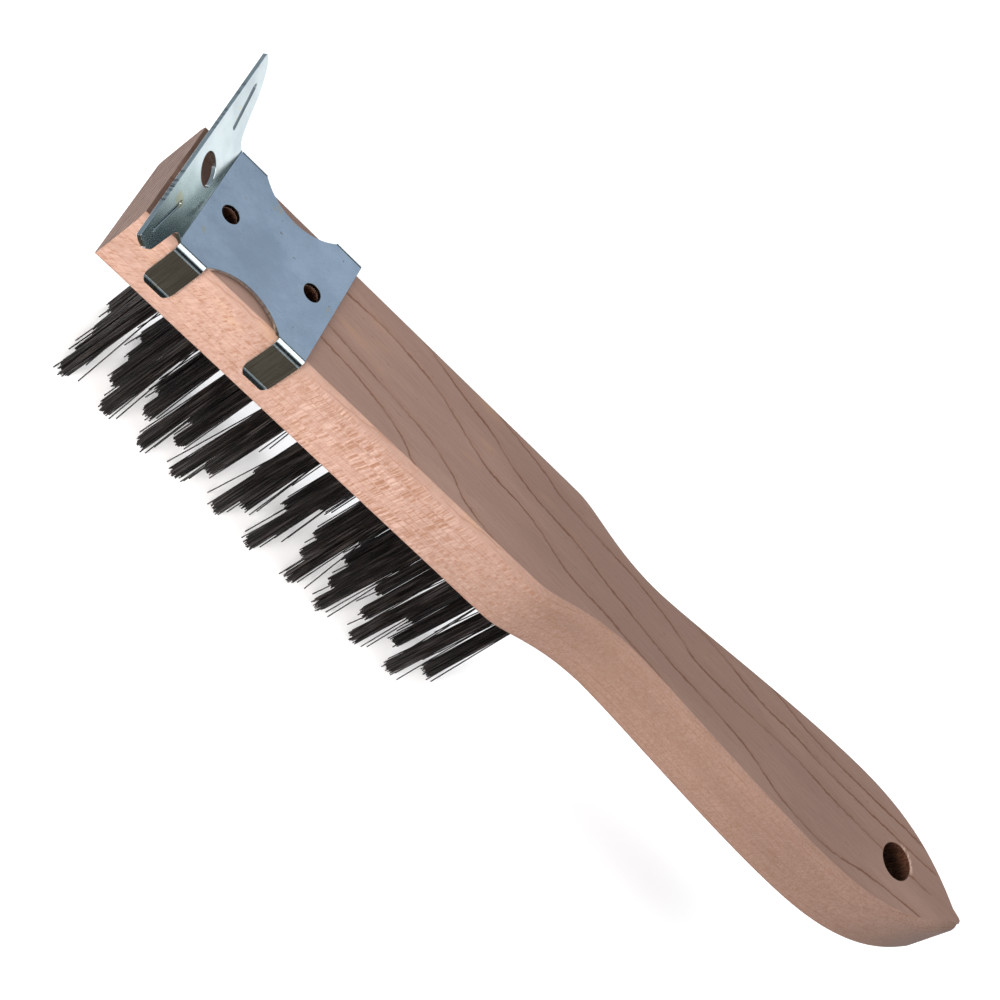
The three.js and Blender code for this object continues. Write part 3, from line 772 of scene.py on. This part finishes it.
def make_tuft(name, material, rng):
    low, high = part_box(name)
    cx, cy = (low.x + high.x) / 2, (low.y + high.y) / 2
    top = high.z - 0.002
    exit_z = WOOD_BOTTOM
    lean_x, lean_y = rng.gauss(0, 0.55) * MM, rng.gauss(0, 0.40) * MM
    shortness = abs(rng.gauss(0, 0.35)) * MM
    verts, faces = [], []
    for w in range(WIRES_PER_TUFT):
        # even spread over the round hole; the last few wires are strays at the bundle's rim
        ring = math.sqrt((w + 0.5) / WIRES_PER_TUFT)
        turn = w * 2.399963 + rng.uniform(-0.2, 0.2)
        rx, ry = ring * 1.80 * MM * math.cos(turn), ring * 1.80 * MM * math.sin(turn)
        spread = rng.uniform(0.86, 1.16)
        tx = rx * spread + lean_x + rng.gauss(0, 0.13) * MM
        ty = ry * spread + lean_y + rng.gauss(0, 0.13) * MM
        end_z = shortness + min(abs(rng.gauss(0, 0.6)), 2.6) * MM + 0.00005
        if w >= WIRES_PER_TUFT - STRAYS:
            out = rng.uniform(0.3, 2.4) * MM
            tx += out * (math.cos(turn) + rng.uniform(-0.5, 0.5))
            ty += out * math.sin(turn) * 0.6
            end_z += max(0.0, rng.gauss(0.3, 1.0)) * MM
        bow, bow_a = rng.uniform(0, 0.18) * MM, rng.uniform(0, 2 * math.pi)
        base = len(verts)
        levels = [(0.0, top), (0.0, exit_z)]
        levels += [((i + 1) / WIRE_STEPS, exit_z + (end_z - exit_z) * (i + 1) / WIRE_STEPS)
                   for i in range(WIRE_STEPS)]
        for f, z in levels:
            swing = bow * math.sin(math.pi * f)
            px = cx + rx + (tx - rx) * f ** 1.1 + swing * math.cos(bow_a)
            py = cy + ry + (ty - ry) * f ** 1.1 + swing * math.sin(bow_a)
            for s in range(WIRE_SIDES):
                a = 2 * math.pi * s / WIRE_SIDES
                verts.append((px + WIRE_R * math.cos(a), py + WIRE_R * math.sin(a), z))
        rows = len(levels)
        for r in range(rows - 1):
            for s in range(WIRE_SIDES):
                t = (s + 1) % WIRE_SIDES
                a, b = base + r * WIRE_SIDES, base + (r + 1) * WIRE_SIDES
                faces.append([a + s, b + s, b + t, a + t])
        faces.append([base + s for s in range(WIRE_SIDES)])
        last = base + (rows - 1) * WIRE_SIDES
        faces.append([last + s for s in reversed(range(WIRE_SIDES))])
    tuft = new_object(name.replace("tuft_", "wires_"), verts, faces, 45.0)
    tuft.data.materials.append(material)
    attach(tuft, "brush")
    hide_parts(name)
    return tuft


# ---------------------------------------------------------------- stage, light and camera
def card(name, centre, facing, size, color, glow, fade=None):
    """Board that only shows in reflections, facing a point; glow is its own brightness.

    fade is None for an even board, or the colour it turns to and where: "x" on its -X side, "across" on
    its two Y sides.
    """
    centre = Vector(centre)
    turn = (Vector(facing) - centre).to_track_quat("Z", "Y")
    w, h = size[0] / 2, size[1] / 2
    corners = [centre + turn @ Vector(c) for c in ((-w, -h, 0), (w, -h, 0), (w, h, 0), (-w, h, 0))]
    board = new_object(name, corners, [[0, 1, 2, 3]])
    n = Nodes(name)
    tone = n.noise((14, 14, 14), detail=2.0)
    shade = tuple(c * 0.85 for c in color)
    glowing = n.mix(n.remap(tone, 0.3, 0.7), (*color, 1), (*shade, 1))
    if fade is not None:
        away, axis = fade
        extent = n.position_parts(n.add("ShaderNodeTexCoord").outputs["Generated"])
        if axis == "across":
            share = n.math("MULTIPLY", n.remap(extent[1], 0.0, 0.35), n.remap(extent[1], 1.0, 0.75))
        else:
            share = n.remap(extent[0], 0.1, 0.75)
        glowing = n.mix(share, (*away, 1), glowing)
    n.link(glowing, n.bsdf.inputs["Emission Color"])
    n.bsdf.inputs["Emission Strength"].default_value = glow
    n.bsdf.inputs["Base Color"].default_value = (0.0, 0.0, 0.0, 1)
    n.bsdf.inputs["Specular IOR Level"].default_value = 0.0
    board.data.materials.append(n.material)
    board.visible_camera = False
    board.visible_diffuse = False
    board.visible_shadow = False
    board.visible_transmission = False


def make_stage():
    size = 4.0
    floor = new_object("floor", [(-size, -size, 0), (size, -size, 0), (size, size, 0), (-size, size, 0)],
                       [[0, 1, 2, 3]])
    paper = Nodes("paper_floor")
    tone = paper.noise((3, 3, 3), detail=2.0)
    paper.link(paper.mix(paper.remap(tone, 0.3, 0.7), (0.60, 0.60, 0.605, 1), (0.62, 0.62, 0.625, 1)),
               paper.bsdf.inputs["Base Color"])
    paper.bsdf.inputs["Roughness"].default_value = 0.9
    paper.bsdf.inputs["Specular IOR Level"].default_value = 0.1
    paper.bsdf.inputs["Emission Color"].default_value = (1.0, 1.0, 1.0, 1)
    paper.bsdf.inputs["Emission Strength"].default_value = 0.27
    floor.data.materials.append(paper.material)

    at = Vector((local(25), MID_Y, WOOD_TOP))            # the scraper
    # olive board on the floor in front of the near side, seen in the tabs' flanks and in the wires
    card("card_front_low", (0, -0.275, 0.003), (0, -0.275, 1), (1.2, 0.50), (0.125, 0.100, 0.075), 1.0)
    # blue-grey board behind, seen in the plate
    card("card_back_high", at + Vector((0.16, 0.36, 0.34)), at, (0.55, 0.34), (0.42, 0.49, 0.635), 1.0)
    # bright board overhead, seen as the highlight where the tabs bend down
    card("card_over", at + Vector((0.08, -0.115, 0.50)), at, (0.42, 0.46), (0.95, 0.98, 1.0), 2.6,
         ((0.25, 0.26, 0.27), "across"))
    # narrow dark board between it and the one behind
    card("card_gap", at + Vector((0.08, 0.165, 0.47)), at, (0.42, 0.09), (0.015, 0.018, 0.020), 1.0)
    # dark board in front, seen below that highlight
    card("card_front_high", at + Vector((0.10, -0.46, 0.27)), at, (0.40, 0.30), (0.018, 0.018, 0.016), 1.0)
    # small dark board close behind, seen in the near end of the blade, turning pale towards its middle
    close = Vector((local(102), across(79), 0.053))
    card("card_blade", close, close - Vector((0.674, 0.72, -0.123)), (0.030, 0.060),
         (0.055, 0.078, 0.082), 1.0, ((0.80, 0.90, 0.90), "x"))
    # dark board low behind, seen by way of the plate in the near half of the blade
    card("card_back_low", at + Vector((0.22, 0.24, 0.085)), at, (0.75, 0.14), (0.030, 0.042, 0.042), 1.0)


def area(name, place, target, size, power, color):
    data = bpy.data.lights.new(name, "AREA")
    data.shape = "RECTANGLE"
    data.size, data.size_y = size
    data.energy = power
    data.color = color
    lamp = bpy.data.objects.new(name, data)
    lamp.location = place
    lamp.rotation_mode = "QUATERNION"
    lamp.rotation_quaternion = (Vector(target) - Vector(place)).to_track_quat("-Z", "Y")
    bpy.context.scene.collection.objects.link(lamp)
    return lamp


def make_light():
    world = bpy.data.worlds.new("studio")
    bpy.context.scene.world = world
    world.use_nodes = True
    sky = world.node_tree.nodes["Background"]
    sky.inputs["Color"].default_value = (0.80, 0.90, 1.0, 1)
    sky.inputs["Strength"].default_value = 0.34
    key = area("key", (local(-110), -0.42, 0.17), (local(60), MID_Y, 0.05), (0.30, 0.24), 6.9,
               (1.0, 0.95, 0.91))
    over = area("over", (0.20, 0.20, 1.20), (0, 0, 0.05), (1.5, 1.5), 26.0, (0.99, 0.99, 1.0))
    for lamp in (key, over):
        lamp.visible_glossy = False
    bpy.context.scene.view_settings.view_transform = "Standard"
    bpy.context.scene.view_settings.look = "None"


LENS_MM = 92.12                         # for a 36 mm sensor
EYE_BEHIND_MM = -80.07                  # the camera stands in front of the block's end
EYE_ACROSS_MM = -431.66
EYE_UP_MM = 468.30


def make_camera():
    data = bpy.data.cameras.new("camera")
    data.sensor_width = 36.0
    data.lens = LENS_MM
    data.clip_start, data.clip_end = 0.05, 20.0
    cam = bpy.data.objects.new("camera", data)
    right = Vector((0.68654, 0.31514, 0.65525))
    down = Vector((0.65844, -0.65173, -0.37643))
    ahead = Vector((0.30842, 0.68988, -0.65494))
    turn = Matrix((right, -down, -ahead)).transposed()
    eye = (local(EYE_BEHIND_MM), across(EYE_ACROSS_MM), EYE_UP_MM * MM)
    cam.matrix_world = Matrix.Translation(eye) @ turn.to_4x4()
    bpy.context.scene.collection.objects.link(cam)
    bpy.context.scene.camera = cam


make_camera()
make_light()
make_stage()
make_wood()
make_scraper()
rng = random.Random(11)
dark_wire = wire_material()
for node_name in sorted(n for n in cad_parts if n.startswith("tuft_")):
    make_tuft(node_name, dark_wire, rng)
